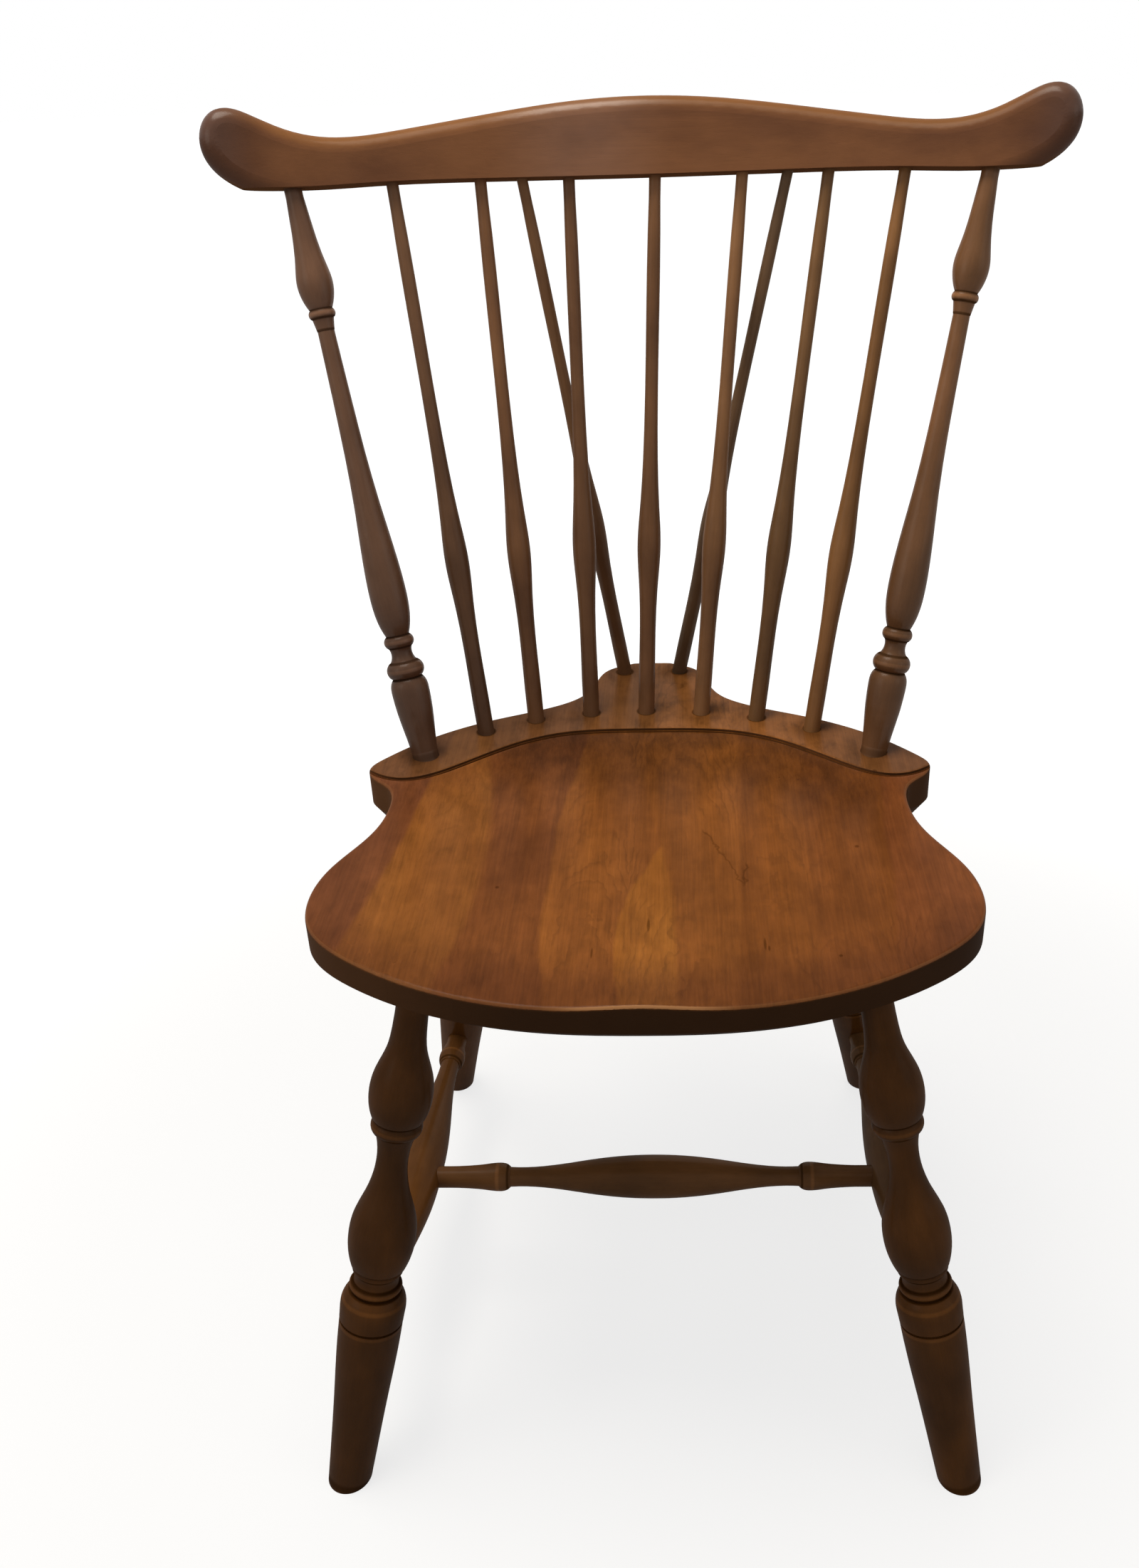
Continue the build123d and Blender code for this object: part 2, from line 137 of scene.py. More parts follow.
# %% Wires that can be added and multiplied
class Wire:
    """The output of a shader node. Arithmetic on it adds Math nodes to the same tree."""

    def __init__(self, tree, socket=None):
        self.tree = tree
        self.socket = socket

    def node(self, kind, settings, inputs, output=0):
        """Any node: its settings first, then the values or wires of its sockets."""
        added = self.tree.nodes.new(kind)
        for name, value in settings.items():
            setattr(added, name, value)
        for name, value in inputs.items():
            if isinstance(value, Wire):
                self.tree.links.new(value.socket, added.inputs[name])
            else:
                added.inputs[name].default_value = value
        return Wire(self.tree, added.outputs[output])

    def math(self, operation, *values):
        """One Math node on numbers and wires."""
        return self.node("ShaderNodeMath", {"operation": operation}, dict(enumerate(values)))

    def __add__(self, other):
        return self.math("ADD", self, other)

    def __radd__(self, other):
        return self.math("ADD", other, self)

    def __sub__(self, other):
        return self.math("SUBTRACT", self, other)

    def __rsub__(self, other):
        return self.math("SUBTRACT", other, self)

    def __mul__(self, other):
        return self.math("MULTIPLY", self, other)

    def __rmul__(self, other):
        return self.math("MULTIPLY", other, self)

    def __truediv__(self, other):
        return self.math("DIVIDE", self, other)

    def __rtruediv__(self, other):
        return self.math("DIVIDE", other, self)

    def __abs__(self):
        return self.math("ABSOLUTE", self)

    def either(self, other):
        """The larger of two masks."""
        return self.math("MAXIMUM", self, other)

    def step(self, low, high):
        """Rises smoothly from 0 at low to 1 at high, or falls where low is the larger."""
        if low > high:
            return 1 - self.step(high, low)
        return self.node(
            "ShaderNodeMapRange",
            {"interpolation_type": "SMOOTHSTEP"},
            {"Value": self, "From Min": low, "From Max": high},
        )

    def band(self, low, high, soft):
        """1 between low and high, fading out over a soft width on both sides."""
        return self.step(low - soft, low) * self.step(high + soft, high)

    def part(self, which):
        """The X, Y or Z of a vector."""
        return self.node("ShaderNodeSeparateXYZ", {}, {"Vector": self}, output="XYZ".index(which))

    def stretch(self, x, y, z):
        """This vector with each of its parts times a number."""
        return self.node("ShaderNodeVectorMath", {"operation": "MULTIPLY"}, {0: self, 1: (x, y, z)})

    def away(self, point):
        """The distance from a point."""
        return self.node(
            "ShaderNodeVectorMath", {"operation": "DISTANCE"}, {0: self, 1: tuple(point)}, output="Value"
        )

    def noise(self, scale, detail, roughness=0.5):
        """Smooth noise at this place, from 0 to 1 and mostly near its middle."""
        return self.node(
            "ShaderNodeTexNoise",
            {},
            {"Vector": self, "Scale": scale, "Detail": detail, "Roughness": roughness},
        )

    def blend(self, low, high):
        """A colour between two, by this wire. The Mix node keeps its colours on sockets 6 and 7."""
        return self.node("ShaderNodeMix", {"data_type": "RGBA"}, {0: self, 6: low, 7: high}, output=2)

    def dimmed(self, amount):
        """This colour times a number."""
        return self.node("ShaderNodeVectorMath", {"operation": "SCALE"}, {0: self, "Scale": amount})


def stain(red, green, blue):
    """A colour given as it looks on a screen, from 0 to 255, as the shader needs it."""

    def linear(part):
        part = part / 255
        return part / 12.92 if part <= 0.04045 else ((part + 0.055) / 1.055) ** 2.4

    return (linear(red), linear(green), linear(blue), 1)


print("one tone as the shader holds it:", [round(v, 3) for v in stain(128, 78, 42)])

# %% [markdown]
# The walls of the room are the world: an even soft light on the chair, and plain white wherever they are looked at
# or mirrored. The floor is white paper. It glows to the eye more with the distance from the chair, so that it runs
# into the white of the walls without a line, and near the feet it keeps the chair's shadow.

# %% Walls and floor
sky_light = 0.28
bounce_grey = 0.34
shadow_depth = 0.3
glow_near = 0.75
glow_start = 0.45
glow_end = 1.5
floor_reach = 12
paper_roughness = 0.9


def looked_at(wire):
    """1 for what the eye sees, straight or in a reflection, and 0 for light that bounces softly."""

    def ray(output):
        return wire.node("ShaderNodeLightPath", {}, {}, output=output)

    return ray("Is Camera Ray").either(ray("Is Glossy Ray")).either(ray("Is Transmission Ray"))


world = bpy.data.worlds.new("studio")
world.use_nodes = True
scene.world = world
walls = Wire(world.node_tree)
background = world.node_tree.nodes["Background"]
strength = looked_at(walls) * (1 - sky_light) + sky_light
world.node_tree.links.new(strength.socket, background.inputs["Strength"])
background.inputs["Color"].default_value = (1, 1, 1, 1)

bpy.ops.object.select_all(action="DESELECT")
bpy.ops.mesh.primitive_circle_add(vertices=96, radius=floor_reach, fill_type="NGON", location=(0, 0, 0))
floor = bpy.context.object
floor.name = "studio_floor"
paper = bpy.data.materials.new("white_paper")
paper.use_nodes = True
paper_shader = paper.node_tree.nodes["Principled BSDF"]
paper_shader.inputs["Roughness"].default_value = paper_roughness
paper_shader.inputs["Specular IOR Level"].default_value = 0.0
paper_wire = Wire(paper.node_tree)
seen = looked_at(paper_wire)
grey = seen * (shadow_depth - bounce_grey) + bounce_grey
paper_place = paper_wire.node("ShaderNodeTexCoord", {}, {}, output="Object")
farther = paper_place.away((0, 0, 0)).step(glow_start, glow_end)
glow = seen * (farther * (1 - glow_near) + glow_near)
for name, amount in (("Base Color", grey), ("Emission Color", glow)):
    colour = amount.node("ShaderNodeCombineColor", {}, {"Red": amount, "Green": amount, "Blue": amount})
    paper.node_tree.links.new(colour.socket, paper_shader.inputs[name])
paper_shader.inputs["Emission Strength"].default_value = 1.0
floor.data.materials.append(paper)
print("floor, m across:", 2 * floor_reach, "and its glow near the chair:", glow_near)

# %% [markdown]
# Maple and cherry are quiet woods. Their fibres are fine and long, their growth rings are thin darker lines, and
# stain takes unevenly and leaves soft blotches. All of it is solid texture laid along the piece's own grain, so that
# a turned swell cuts through the figure as a lathe does. The lacquer over it is a thin satin coat. A seed moves a
# piece to another place in the same solid wood, so that two turned pieces never show the same figure.


# %% The wood itself
satin = 0.27
relief_strength = 0.3
relief_height = 0.5 * mm


class Wood:
    """One piece's wood: its material, its place along the grain and the parts of its figure."""

    def __init__(self, name, middle, along, seed):
        self.material = bpy.data.materials.new(name)
        self.material.use_nodes = True
        self.tree = self.material.node_tree
        self.shader = self.tree.nodes["Principled BSDF"]
        start = Wire(self.tree)
        self.place = start.node("ShaderNodeTexCoord", {}, {}, output="Object")
        self.facing = start.node("ShaderNodeTexCoord", {}, {}, output="Normal")
        turn = along.to_track_quat("Z", "Y").to_euler()
        self.local = start.node(
            "ShaderNodeMapping",
            {"vector_type": "TEXTURE"},
            {"Vector": self.place, "Location": middle, "Rotation": turn},
        )
        self.shifted = start.node(
            "ShaderNodeVectorMath",
            {"operation": "ADD"},
            {0: self.local, 1: (seed * 0.37, seed * 0.71, seed * 1.3)},
        )
        # A small last number in a stretch draws the noise out along the grain.
        self.blotch = self.shifted.stretch(1, 1, 0.5).noise(22, 3, 0.55)
        self.cloud = self.shifted.stretch(1, 1, 0.3).noise(6, 1)
        self.fibre = self.shifted.stretch(1, 1, 0.03).noise(560, 3, 0.65)
        self.streak = self.shifted.stretch(1, 1, 0.05).noise(130, 3, 0.6)
        self.mottle = self.shifted.stretch(1, 1, 0.6).noise(75, 3, 0.6)
        self.pore = self.shifted.stretch(1, 1, 0.06).noise(1500, 1).step(0.66, 0.8)

    def tone(self, dark, light):
        """The stain between two tones, by blotches and broad clouds."""
        return (self.blotch * 0.7 + self.cloud * 0.6 - 0.15).step(0.3, 0.7).blend(dark, light)

    def grain(self, depth):
        """How the fibres, streaks, mottles and pores darken or lighten the stain, about 1."""
        figure = 0.95 - self.fibre * 0.65 - self.streak * 0.6 - self.mottle * 0.65 - self.pore * 0.12
        return 1 + figure * depth

    def finish(self, colour, dirt_and_shade, gloss):
        """Lays the colour on the shader with the surface's fine relief. The lacquer is gone where dirt and painted
        shade lie.
        """
        links = self.tree.links
        relief = self.fibre * 0.5 + self.streak * 0.3 - self.pore * 0.6 + self.blotch * 0.6
        bump = relief.node(
            "ShaderNodeBump",
            {},
            {"Strength": relief_strength, "Distance": relief_height, "Height": relief},
        )
        lacquer = (1.2 - self.mottle * 0.4) * (1 - dirt_and_shade) * gloss
        for wire, name in (
            (colour, "Base Color"),
            (0.5 + self.blotch * 0.3, "Roughness"),
            (lacquer, "Coat Weight"),
            (bump, "Normal"),
        ):
            links.new(wire.socket, self.shader.inputs[name])
        self.shader.inputs["Specular IOR Level"].default_value = 0.0
        self.shader.inputs["Coat Roughness"].default_value = satin
        return self.material


def dress(name, material):
    """Gives a CAD piece its wood."""
    piece = nodes[name]
    piece.data.materials.clear()
    piece.data.materials.append(material)


print("roughness of the lacquer:", satin)

# %% [markdown]
# A turned piece was a square billet with its grain running end to end. Its axis runs between the middles of its two
# end discs, which are found in the mesh, so that nothing has to be typed twice. A leg is cut level at the floor, and
# there the disc is an oval whose middle is still on the axis.

# %% Find a turned piece's axis
end_slice = 0.4 * mm


def axis_of(name):
    """The two ends of a turned piece's axis, the lower or left one first."""
    mesh = nodes[name].data
    points = np.empty(len(mesh.vertices) * 3)
    mesh.vertices.foreach_get("co", points)
    points = points.reshape(-1, 3)
    along = np.linalg.svd(points - points.mean(axis=0), full_matrices=False)[2][0]
    along *= np.sign(along[np.argmax(np.abs(along))])
    reach = points @ along
    ends = []
    for near in (reach < reach.min() + end_slice, reach > reach.max() - end_slice):
        level = points[:, 2] < end_slice
        chosen = points[level] if near[level].any() else points[near]
        ends.append(Vector((chosen.min(axis=0) + chosen.max(axis=0)) / 2))
    return ends


axes = {name: axis_of(name) for name in nodes if not name.startswith(("seat", "crest"))}
for name in ("front_leg_left", "back_post_left", "centre_stretcher"):
    low, high = axes[name]
    print(name, "axis, mm:", round((high - low).length / mm, 1))

# %% [markdown]
# The cut grooves are darkest: stain pooled in them and the dirt of years stayed, and a painted shade is laid in them
# too. The lips just beside them are rubbed by hands and cloths, and a painted highlight makes them a little paler.
# Both are rings round the axis, at the same shares of the visible length at which the turner cut them. A leg's shares
# are counted down from the seat, so they are turned round here, because its axis starts at the floor.

# %% Where the turner cut the grooves
leg_grooves = [1 - share for share in (0.2505, 0.2765, 0.5405, 0.5535, 0.574, 0.5905, 0.652)]
leg_lips = [1 - share for share in (0.2635, 0.5815, 0.607, 0.659)]
post_grooves = [0.149, 0.179, 0.2065, 0.2275, 0.767, 0.787, 0.801]
post_lips = [0.164, 0.217, 0.794]
side_stretcher_grooves = [0.133, 0.844]
side_stretcher_lips = [0.112, 0.867]
centre_stretcher_grooves = [0.197, 0.803]
centre_stretcher_lips = [0.176, 0.824]
groove_reach = 1.5 * mm
lip_reach = 2.2 * mm
print("grooves on a leg and on a post:", len(leg_grooves), len(post_grooves))


def rings_at(station, places, reach):
    """A mask of narrow rings at places along the axis."""
    mask = None
    for place in places:
        ring = abs(station - place).step(reach, reach * 0.25)
        mask = ring if mask is None else mask.either(ring)
    return mask


# %% [markdown]
# One recipe serves every turned piece: its stain, its grain, the dirt at its joints, the dirt and painted shade in
# its grooves, and its rubbed lips with their painted highlight. The pieces of the back stand close together at the
# seat and shade each other there, and nearer the crest more light falls on them, so each is painted from a shaded
# darker foot to a lit paler top.

# %% Stain, painted shade and painted light on a turned piece
turned_grain = 0.35
# Painted shade at the foot and painted light at the top of the back's turnings.
painted_shade_foot = 0.7
painted_light_top = 1.2
seat_slope = 10 * mm
joint_reach = 5 * mm
joint_dirt = 0.6
groove_darkness = 0.5
lip_wear_and_highlight = 0.55


def turned_wood(name, tone_pair, seed, grooves, lips, tenons, gloss):
    """Stained turned wood with dirt and painted shade in its grooves, wear and a painted highlight on its lips, and
    on the back a painted shade at the foot and painted light at the top.
    """
    low, high = axes[name]
    wood = Wood(f"{name}_wood", low, (high - low).normalized(), seed)
    start = tenons[0]
    length = (high - low).length - sum(tenons)
    station = wood.local.part("Z")
    colour = wood.tone(*tone_pair).dimmed(wood.grain(turned_grain))
    # The back's turnings: painted shade at the foot, painted light towards the crest.
    if low.z > deck_z - start - seat_slope:
        painted_light_rise = wood.place.part("Z").step(deck_z, high.z)
        colour = colour.dimmed(painted_light_rise * (painted_light_top - painted_shade_foot) + painted_shade_foot)
    dirt_and_shade = rings_at(station, [start, start + length], joint_reach) * joint_dirt
    if grooves:
        # The grooves are darkened by dirt and a painted shade.
        cut = rings_at(station, [start + length * share for share in grooves], groove_reach)
        # The lips are paled by wear and a painted highlight.
        rubbed_and_highlight = rings_at(station, [start + length * share for share in lips], lip_reach)
        dirt_and_shade = dirt_and_shade.either(cut)
        colour = colour.dimmed(1 - dirt_and_shade * groove_darkness).dimmed(1 + rubbed_and_highlight * lip_wear_and_highlight)
    dress(name, wood.finish(colour, dirt_and_shade, gloss))


print("foot and top of the back's turnings, against their stain:", painted_shade_foot, painted_light_top)

# %% [markdown]
# The legs stand in the seat's own shade and are the darkest pieces. The stretchers between them are a little
# lighter, and the spindles and posts of the back lighter still, some of them more orange than their neighbours,
# because each was turned from another stick. Hands have left the posts shinier than the rest.

# %% Turned pieces
tones = {
    "front_leg_left": (stain(71, 43, 19), stain(103, 63, 28)),
    "front_leg_right": (stain(69, 42, 19), stain(101, 62, 27)),
    "rear_leg_left": (stain(71, 43, 19), stain(103, 63, 28)),
    "rear_leg_right": (stain(69, 42, 19), stain(101, 62, 27)),
    "side_stretcher_left": (stain(96, 61, 30), stain(132, 84, 42)),
    "side_stretcher_right": (stain(79, 56, 36), stain(112, 78, 47)),
    "centre_stretcher": (stain(88, 60, 36), stain(122, 82, 48)),
    "back_post_left": (stain(91, 65, 50), stain(122, 88, 66)),
    "back_post_right": (stain(114, 79, 51), stain(153, 107, 72)),
    "brace_spindle_left": (stain(108, 76, 54), stain(145, 105, 70)),
    "brace_spindle_right": (stain(97, 75, 55), stain(135, 104, 75)),
    "back_spindle_1": (stain(99, 71, 52), stain(130, 94, 67)),
    "back_spindle_2": (stain(107, 74, 51), stain(144, 101, 68)),
    "back_spindle_3": (stain(99, 67, 47), stain(132, 94, 64)),
    "back_spindle_4": (stain(109, 76, 51), stain(145, 102, 69)),
    "back_spindle_5": (stain(126, 89, 60), stain(165, 119, 79)),
    "back_spindle_6": (stain(107, 78, 51), stain(142, 104, 68)),
    "back_spindle_7": (stain(124, 87, 53), stain(164, 116, 72)),
}
leg_tenon = 20 * mm
back_tenon = 22 * mm
brace_tenon = 16 * mm
leg_gloss = 0.1
stretcher_gloss = 0.12
spindle_gloss = 0.2
post_gloss = 0.3


def turning_of(name):
    """A turned piece's grooves, lips, two tenons and gloss."""
    if "leg" in name:
        return leg_grooves, leg_lips, (0, leg_tenon), leg_gloss
    if "post" in name:
        return post_grooves, post_lips, (back_tenon, back_tenon), post_gloss
    if name == "centre_stretcher":
        return centre_stretcher_grooves, centre_stretcher_lips, (0, 0), stretcher_gloss
    if "stretcher" in name:
        return side_stretcher_grooves, side_stretcher_lips, (0, 0), stretcher_gloss
    return (), (), (back_tenon, brace_tenon if "brace" in name else back_tenon), spindle_gloss


for seed, name in enumerate(sorted(tones), start=1):
    turned_wood(name, tones[name], seed, *turning_of(name))
print("turned pieces dressed:", len(tones))

# %% [markdown]
# The crest is one bent board, so its grain runs from ear to ear. Its stain is even, a little redder and darker at the
# ends of the ears, where the end grain drank more of it. Its top is painted warmer and lighter, where the light
# falls, and its underside is painted paler. A dark line of painted shade follows the corner where its front turns
# under.
# Hands have polished it in three places: left of the middle, where it is gripped to move the chair, and at both ears.

# %% Crest rail
crest_low, crest_high = (Vector(corner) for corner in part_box("crest_rail"))
crest_middle = (crest_low + crest_high) / 2
crest_half = (crest_high.x - crest_low.x) / 2
crest_seed = 31
crest_grain = 0.25
crest_top_painted_light = 0.7
crest_shade_line_darkness = 0.45
crest_wood = Wood("crest_rail_wood", crest_middle, Vector((1, 0, 0)), crest_seed)
crest_x = crest_wood.place.part("X")
crest_across = abs(crest_x - crest_middle.x) / crest_half
crest_up = crest_wood.facing.part("Z")
crest_end = crest_across.step(0.8, 1.0)
crest_under = crest_up.step(-0.55, -0.8)
# Painted shade: a dark line along the corner where the front turns under.
crest_shade_line = crest_up.band(-0.5, -0.25, 0.12) * crest_across.step(0.86, 0.76)
crest_lit_top = crest_up.step(0.3, 0.85)
crest_arris = crest_up.band(0.3, 0.8, 0.2)
crest_tone = crest_wood.tone(stain(111, 71, 48), stain(141, 93, 60))
# Painted light: the top is warmer and lighter, where the light falls on it.
crest_tone = (crest_lit_top * crest_top_painted_light).blend(crest_tone, stain(142, 93, 47))
crest_tone = crest_end.blend(crest_tone, stain(92, 60, 44))
# Painted light: the underside is paler.
crest_tone = crest_under.blend(crest_tone, stain(126, 88, 60))
crest_colour = crest_tone.dimmed(crest_wood.grain(crest_grain) * (1 - crest_shade_line * crest_shade_line_darkness))
print("crest, mm:", round(crest_half * 2 / mm), "wide")

# %% [markdown]
# A polished place shines on the crest's upper corner and fades out sideways. Each is held as its share of the way
# from the middle to an ear, how far its shine reaches, and how strong it is.

# %% Polish on the crest
handled_places = [(-0.14, 80 * mm, 0.7), (-0.96, 30 * mm, 0.35), (0.96, 30 * mm, 0.35)]
crest_gloss = 0.2
for share, reach, shine in handled_places:
    away = abs(crest_x - (crest_middle.x + share * crest_half))
    crest_gloss = away.step(reach, reach * 0.1) * crest_arris * shine + crest_gloss
dress("crest_rail", crest_wood.finish(crest_colour, crest_under.either(crest_shade_line), crest_gloss))
print("polished places on the crest:", len(handled_places))

# %% [markdown]
# The seat is eight boards glued edge to edge with their grain from front to back, and each took the stain in its own
# way. Where one tone meets the next is not a straight line, because the heartwood of a board swings along its length.
# So the tones are held apart from the boards, as strips from left to right with curved lines where they meet: how far
# right a line is at the front edge, how it sways and bows towards the back, and how soft it is, in millimetres.

# %% Tones of the seat
strip_tones = [
    (stain(111, 63, 35), stain(131, 77, 42)),
    (stain(128, 75, 33), stain(152, 93, 41)),
    (stain(109, 61, 28), stain(135, 78, 36)),
    (stain(130, 75, 31), stain(156, 93, 39)),
    (stain(146, 87, 32), stain(178, 111, 44)),
    (stain(128, 74, 29), stain(156, 92, 37)),
    (stain(117, 66, 24), stain(142, 82, 32)),
    (stain(115, 64, 24), stain(140, 80, 33)),
    (stain(117, 65, 32), stain(140, 80, 38)),
]
meeting_lines = [
    (-214, 48, -4, 2.5),
    (-142, 75, -62, 4.5),
    (-62, -36, 38, 2),
    (-11, -71, 160, 2),
    (22, 10, -40, 3),
    (62, 18, -8, 3),
    (116, 6, 0, 9),
    (165, 32, -14, 4),
]
figure_run = 300 * mm
line_margin = 12 * mm
line_creep = 11 * mm
line_checks = 8


def line_at(line, back):
    """How far right of the seat's middle a meeting line is, at a share of the run from the front."""
    start, sway, bow, _ = meeting_lines[line]
    return (start + back * sway + back * back * bow) * mm


print("strips of tone on the seat:", len(strip_tones))

# %% [markdown]
# A board gets only the strips that cross it, so each meeting line is first followed in plain numbers against the
# board's own box. All boards read their texture from one origin, the middle of the seat's front edge, because the
# glue lines of this seat can hardly be seen and the figure seems to run on over them.

# %% Strips on one board
seat_seed = 40


def seat_wood(name):
    """The wood of one seat board, with its box and its places across and back from the seat's front middle."""
    wood = Wood(f"{name}_wood", Vector((seat_middle_x, seat_front_y, deck_z)), Vector((0, 1, 0)), seat_seed)
    wood.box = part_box(name)
    wood.across = wood.place.part("X") - seat_middle_x
    wood.back = wood.place.part("Y") - seat_front_y
    return wood


def seat_tone(wood):
    """The tones of the strips that cross one board."""
    (low_x, _, _), (high_x, high_y, _) = wood.box
    left = low_x - seat_middle_x - line_margin
    right = high_x - seat_middle_x + line_margin
    far = (high_y - seat_front_y) / figure_run
    back = wood.back / figure_run
    creep = (wood.shifted.stretch(1, 1, 0.35).noise(45, 3) - 0.5) * line_creep
    colour = None
    for line in range(len(meeting_lines)):
        reach = [line_at(line, far * check / line_checks) for check in range(line_checks + 1)]
        if max(reach) < left:
            colour = None
            continue
        if colour is None:
            colour = wood.tone(*strip_tones[line])
        if min(reach) > right:
            return colour
        soft = meeting_lines[line][3] * mm
        beyond = (wood.across - line_at(line, back) + creep).step(-soft, soft)
        colour = beyond.blend(colour, wood.tone(*strip_tones[line + 1]))
    return colour


print("boards in the seat:", len(seat_boards))

# %% [markdown]
# The boards are flat-sawn, and their growth rings come up as faint pointed arches, the cathedral figure. An arch is
# where a bowl of rings meets the board's face: the square of the distance from the board's own middle line plus a
# slow climb along the grain, cut into even steps. A slow noise makes the lines waver, and each board has its own
# strength, plainest in the broad middle one.

# %% Cathedral figure
arch_middles = [-200, -150, -92, -40, 30, 92, 138, 205]
arch_strength = [0.06, 0.09, 0.06, 0.15, 0.18, 0.13, 0.09, 0.15]
arch_steepness = 16.0
arch_climb = 0.12
arch_waver = 30 * mm
ring_step = 5.5 * mm


def arches(wood, number):
    """Thin dark lines of late wood in pointed arches, broken by the blotches of the stain."""
    across = wood.across - arch_middles[number] * mm
    waver = (wood.shifted.stretch(1, 1, 0.5).noise(20, 4, 0.65) - 0.5) * arch_waver
    climb = across * across * arch_steepness + wood.place.part("Y") * arch_climb + waver
    ring = climb.math("FRACT", climb / ring_step)
    return ring.step(0.55, 0.9) * ring.step(1.0, 0.95) * wood.blotch.step(0.42, 0.62)


print("a ring comes at every", round(ring_step / mm, 1), "mm of the bowl's climb")

# %% [markdown]
# The seat's wear tells how it was used, and the first of it is dirt. It lies in the scribed groove, whose curve is
# worked out here from the seat's own size, with a painted shade in it too, and in a ring round the foot of every
# spindle, where no cloth reaches, with a wider smudge there of dirt and painted shade. A spindle's foot is where its
# axis passes the deck.

# %% Dirt and painted shade in the groove and round the spindles
scribe_middle_share = 0.6505
scribe_sway_share = 0.0815
scribe_turn_share = 0.829
scribe_power = 1.79
post_foot = 9.5 * mm
spindle_foot = 7 * mm
ring_inner = 0.5 * mm
ring_outer = 2.5 * mm
ring_dirt = 0.85
shade_smudge_inner = 6 * mm
shade_smudge_outer = 32 * mm
feet_margin = 30 * mm
feet = []
for name in sorted(axes):
    if "post" in name or "spindle" in name:
        low, high = axes[name]
        climb = (deck_z - low.z) / (high.z - low.z)
        feet.append((low + (high - low) * climb, post_foot if "post" in name else spindle_foot))
print("turned feet on the deck:", len(feet))


def groove_distance(wood):
    """How far in front of the scribed line a place on the seat is."""
    across = abs(wood.across) / (seat_half_width * scribe_turn_share)
    swing = across.math("POWER", across, scribe_power) * math.pi
    line = swing.math("COSINE", swing) * (seat_depth * scribe_sway_share) + seat_depth * scribe_middle_share
    return line - wood.back


def foot_dirt_and_shade(wood):
    """Dark rings of dirt, and smudges of dirt and painted shade, round the posts and spindles that stand on or beside
    this board.
    """
    flat = wood.place.stretch(1, 1, 0)
    dirt_and_shade = None
    for place, wide in feet:
        if not wood.box[0][0] - feet_margin < place.x < wood.box[1][0] + feet_margin:
            continue
        away = flat.away((place.x, place.y, 0))
        # A smudge of dirt and painted shade round the foot.
        smudge_and_shade = away.step(shade_smudge_outer, shade_smudge_inner) * (0.08 + wood.blotch.step(0.4, 0.65) * 0.6)
        mark = smudge_and_shade.either(away.step(wide + ring_outer, wide + ring_inner) * ring_dirt)
        dirt_and_shade = mark if dirt_and_shade is None else dirt_and_shade.either(mark)
    return dirt_and_shade


# %% [markdown]
# An old seat gathers small marks. Each check or dent is an oval: how far right of the middle and behind the front
# edge it is, and half its width and length. The crooked vein of dark wood has two limbs, each from a far point to a
# near one, and a noise makes them waver. All of them are in millimetres.

# %% Small marks and the vein
dark_marks = [
    (3.2, 95, 1.0, 8),
    (82, 71, 0.9, 7),
    (84.5, 66, 0.8, 3),
    (179.5, 281, 2.2, 2),
    (156, 188, 1.6, 1.8),
    (-106, 141, 1.4, 1.6),
    (131, 55, 1.4, 1.6),
    (-34, 62, 0.7, 6),
]
vein_limbs = [
    (46, 214, 69, 147),
    (74, 168, 70.5, 145),
]
vein_left = 36
vein_right = 84
vein_waver = 14
vein_end = 6
vein_darkness = 0.4
mark_darkness = 0.6
print("small marks:", len(dark_marks), "limbs of the vein:", len(vein_limbs))


def marks_on(wood):
    """The small marks and the parts of the vein that lie on this board."""
    left, right = wood.box[0][0], wood.box[1][0]
    mask = None
    for right_of_middle, behind_front, half_wide, half_long in dark_marks:
        middle = (seat_middle_x + right_of_middle * mm, seat_front_y + behind_front * mm, 0)
        if not left < middle[0] < right:
            continue
        oval = (1 / (half_wide * mm), 1 / (half_long * mm), 0)
        centre = tuple(value * scale for value, scale in zip(middle, oval))
        mark = wood.place.stretch(*oval).away(centre).step(1.3, 0.6) * mark_darkness
        mask = mark if mask is None else mask.either(mark)
    if left < seat_middle_x + vein_right * mm and right > seat_middle_x + vein_left * mm:
        across = wood.across / mm
        back = wood.back / mm
        waver = (wood.shifted.noise(90, 2) - 0.5) * vein_waver
        for x_far, y_far, x_near, y_near in vein_limbs:
            line = x_near + (back - y_near) * ((x_far - x_near) / (y_far - y_near))
            limb = abs(across - line + waver).step(1.3, 0.4) * back.band(y_near, y_far, vein_end)
            limb = limb * vein_darkness
            mask = limb if mask is None else mask.either(limb)
    return mask


# %% [markdown]
# Broad tones lie over the boards' own ones. The deck behind the groove is a duller brown with one paler part right
# of the middle, the front lip is darker, and a painted shade darkens the hollow towards its steep back wall. Over
# them come the grain with faint ripples across it, the arches, a few dark flecks and pale scratches, and cloudy stain
# on the deck.

# %% Tones and painted shade of the seat
deck_brown = stain(112, 77, 46)
deck_pale = stain(150, 98, 53)
deck_pale_left = 40 * mm
deck_pale_right = 130 * mm
deck_pale_soft = 45 * mm
deck_share = 0.6
lip_brown = stain(98, 53, 24)
lip_curve = 1.1
lip_front = 12 * mm
lip_back = 66 * mm
lip_share = 0.8
hollow_wall = 10 * mm
hollow_open = 125 * mm
hollow_middle = 25 * mm
hollow_half = 120 * mm
hollow_end = 175 * mm
seat_grain = 0.95
ripple_depth = 0.16
fleck_darkness = 0.3
scratch_paleness = 0.16
hollow_painted_shade = 0.6
cloud_darkness = 0.22
print("the hollow is shaded to", round(hollow_open / mm), "mm in front of the groove")


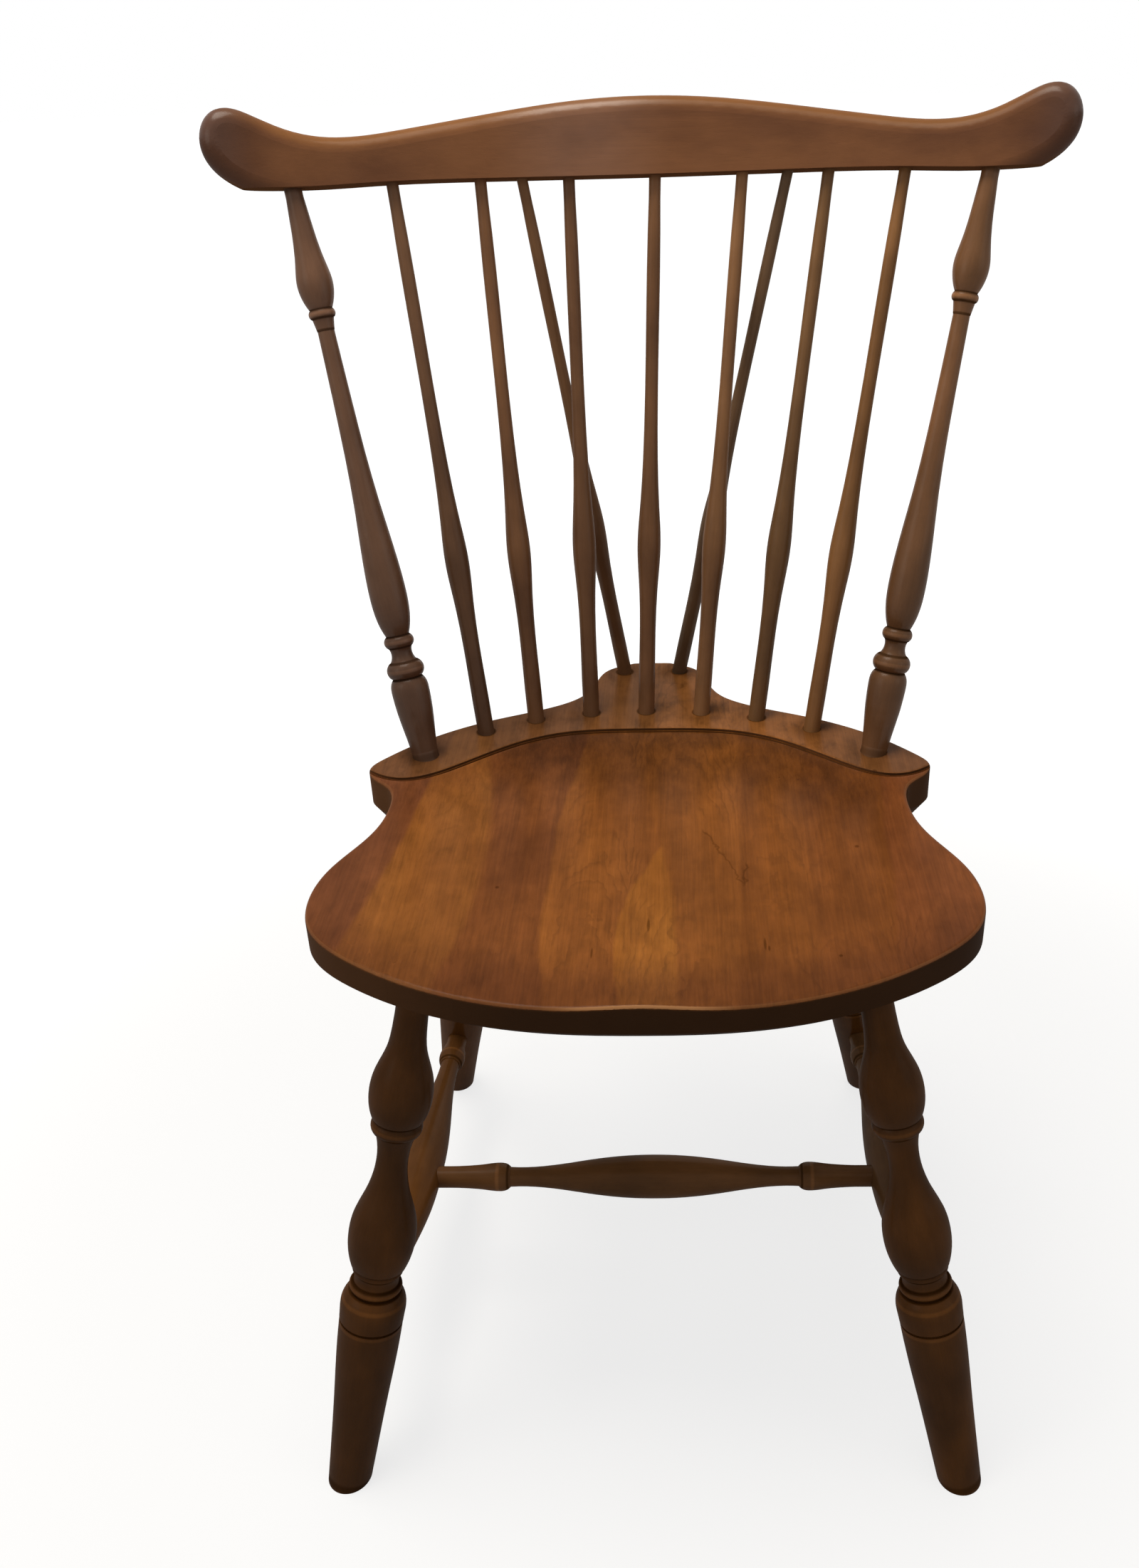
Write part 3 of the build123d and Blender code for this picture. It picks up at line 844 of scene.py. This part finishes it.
def shaded_tone(wood, deck):
    """The strips' tones with the deck's browns behind the groove and the darker lip at the front."""
    pale = (wood.across + wood.blotch * 0.1 - 0.05).band(deck_pale_left, deck_pale_right, deck_pale_soft)
    lip = (wood.back - wood.across * wood.across * lip_curve).step(lip_back, lip_front)
    tone = (deck * deck_share).blend(seat_tone(wood), pale.blend(deck_brown, deck_pale))
    return (lip * (0.45 + wood.blotch * 0.6) * lip_share).blend(tone, lip_brown)


def seat_figure(wood, number):
    """How the grain, its ripples, the arches, the flecks and the scratches darken or lighten the tone, about 1."""
    ripple = wood.shifted.stretch(0.3, 1, 1).noise(60, 2)
    fleck = wood.shifted.noise(170, 1).step(0.735, 0.77) * wood.cloud.step(0.45, 0.6)
    hair = abs(wood.shifted.stretch(1.6, 1, 0.5).noise(38, 1) - 0.5)
    scratch = hair.step(0.006, 0.002) * wood.cloud.step(0.5, 0.6)
    figure = wood.grain(seat_grain) * (1.08 - ripple * ripple_depth)
    figure = figure * (1 - arches(wood, number) * arch_strength[number])
    return figure * (1 - fleck * fleck_darkness + scratch * scratch_paleness)


def painted_shade_and_cloud(wood, front, deck):
    """The painted shade towards the hollow's back wall and the darkening of the deck's cloudy stain, from 1 down."""
    # Painted shade towards the hollow's steep back wall.
    wall_shade = (front + wood.blotch * 0.06 - 0.03).step(hollow_open, hollow_wall) * front.step(-1 * mm, 1 * mm)
    wall_shade = wall_shade * (0.5 + wood.mottle * 0.6) * abs(wood.across - hollow_middle).step(hollow_end, hollow_half)
    cloud = deck * wood.mottle.step(0.45, 0.7) * wood.blotch.step(0.35, 0.6)
    return 1 - wall_shade * hollow_painted_shade - cloud * cloud_darkness


# %% [markdown]
# The seat's front and back edges are end grain, which drinks stain dark, and a painted shade makes every face that
# does not look up nearly black. The edge is painted a little paler where it faces left, towards the light, and it is
# paler towards the back. The corner of the rim is worn to a thin pale line, and a painted highlight lies on it, most
# of all in the middle of the front.

# %% Edge and rim
# End grain stain with a painted shade.
edge_dark = stain(50, 31, 17)
edge_brown = stain(72, 46, 26)
rim_pale_and_highlight = stain(176, 124, 80)
edge_left_painted_light = 1.1
edge_back_paleness = 0.7
edge_back_start = 190 * mm
edge_back_end = 250 * mm
# Where the painted highlight on the rim is brightest, in the middle of the front.
middle_highlight_outer = 70 * mm
middle_highlight_inner = 20 * mm
middle_highlight_back = 12 * mm
middle_highlight_front = 6 * mm
print("edge fades from", round(edge_back_start / mm), "mm behind the front")


def edge_and_rim(wood, colour, side):
    """The face's colour with the dark end grain and painted shade round it, and the worn rim with its painted
    highlight between them.
    """
    # Painted light: the edge is paler where it faces left; it is also paler towards the back.
    edge_light_and_paleness = wood.facing.part("X").step(-0.1, -0.7) * edge_left_painted_light
    edge_light_and_paleness = edge_light_and_paleness + wood.back.step(edge_back_start, edge_back_end) * edge_back_paleness
    # End grain stain with a painted shade on every face that does not look up.
    edge = (0.3 + wood.blotch * 0.5).blend(edge_dark, edge_brown).dimmed(1 + edge_light_and_paleness)
    # A painted highlight on the rim, brightest in the middle of the front, over its worn pale line.
    middle_highlight = abs(wood.across).step(middle_highlight_outer, middle_highlight_inner) * wood.back.step(middle_highlight_back, middle_highlight_front)
    worn_and_highlight = wood.facing.part("Z").band(0.45, 0.86, 0.08) * (wood.mottle * 0.3 + middle_highlight)
    return worn_and_highlight.blend(side.blend(colour, edge), rim_pale_and_highlight)


# %% [markdown]
# Now all of it is laid on each board: the stain and the figure, the broad tones with the painted shade of the hollow,
# the dirt with the painted shade in the groove and round the feet, and last the painted shade of the edges and the
# worn rim with its painted highlight. Dirt and end grain have no lacquer left, so they stay dull.

# %% Seat boards
seat_gloss = 0.15
dirt_and_shade_darkness = 0.7
groove_dirt_and_shade = 0.7
groove_outer = 1.6 * mm
groove_inner = 1.1 * mm
deck_start = -1.5 * mm
side_dullness = 0.7


def seat_board(number, name):
    """One board of the seat with its stain, dirt and wear, and the painted shade and highlight laid on it."""
    wood = seat_wood(name)
    front = groove_distance(wood)
    deck = front.step(0, deck_start)
    colour = shaded_tone(wood, deck)
    colour = colour.dimmed(seat_figure(wood, number)).dimmed(painted_shade_and_cloud(wood, front, deck))
    # Dirt and painted shade in the scribed groove.
    dirt_and_shade = abs(front).step(groove_outer, groove_inner) * groove_dirt_and_shade
    for more in (foot_dirt_and_shade(wood), marks_on(wood)):
        if more is not None:
            dirt_and_shade = dirt_and_shade.either(more)
    side = wood.facing.part("Z").step(0.5, 0.2)
    colour = edge_and_rim(wood, colour.dimmed(1 - dirt_and_shade * dirt_and_shade_darkness), side)
    dress(name, wood.finish(colour, dirt_and_shade.either(side * side_dullness), seat_gloss))


for number, name in enumerate(seat_boards):
    seat_board(number, name)
print("seat boards dressed:", len(seat_boards))
